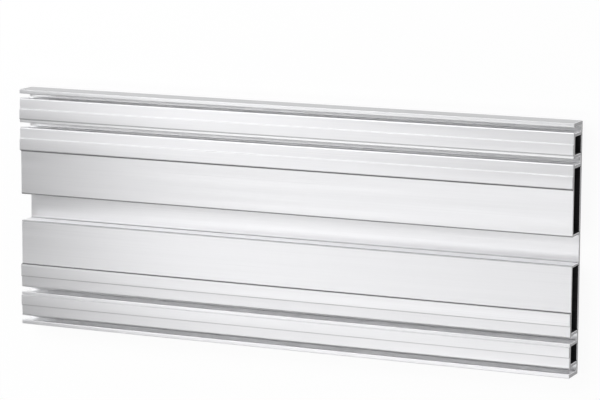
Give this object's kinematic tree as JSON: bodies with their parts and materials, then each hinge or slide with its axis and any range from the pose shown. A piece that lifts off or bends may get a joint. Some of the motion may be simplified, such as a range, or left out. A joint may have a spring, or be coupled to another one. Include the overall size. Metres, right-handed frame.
{
  "type": "aluminium extrusion profile",
  "caption": "Wide flat hollow aluminium extrusion, cut to length, with hooked slots along its front and a deep channel down the middle.",
  "frame": {"origin": "middle of the plain back face, which lies on the floor", "axes": "+X along the length of the stock, +Y across its width, +Z out of the slotted front"},
  "size_m": [0.5, 0.205, 0.022],
  "materials": {
    "aluminium": "extruded, satin silver, with fine lines along its length and sawn ends"
  },
  "bodies": {
    "root": {"profile": "aluminium"}
  },
  "joints": []
}
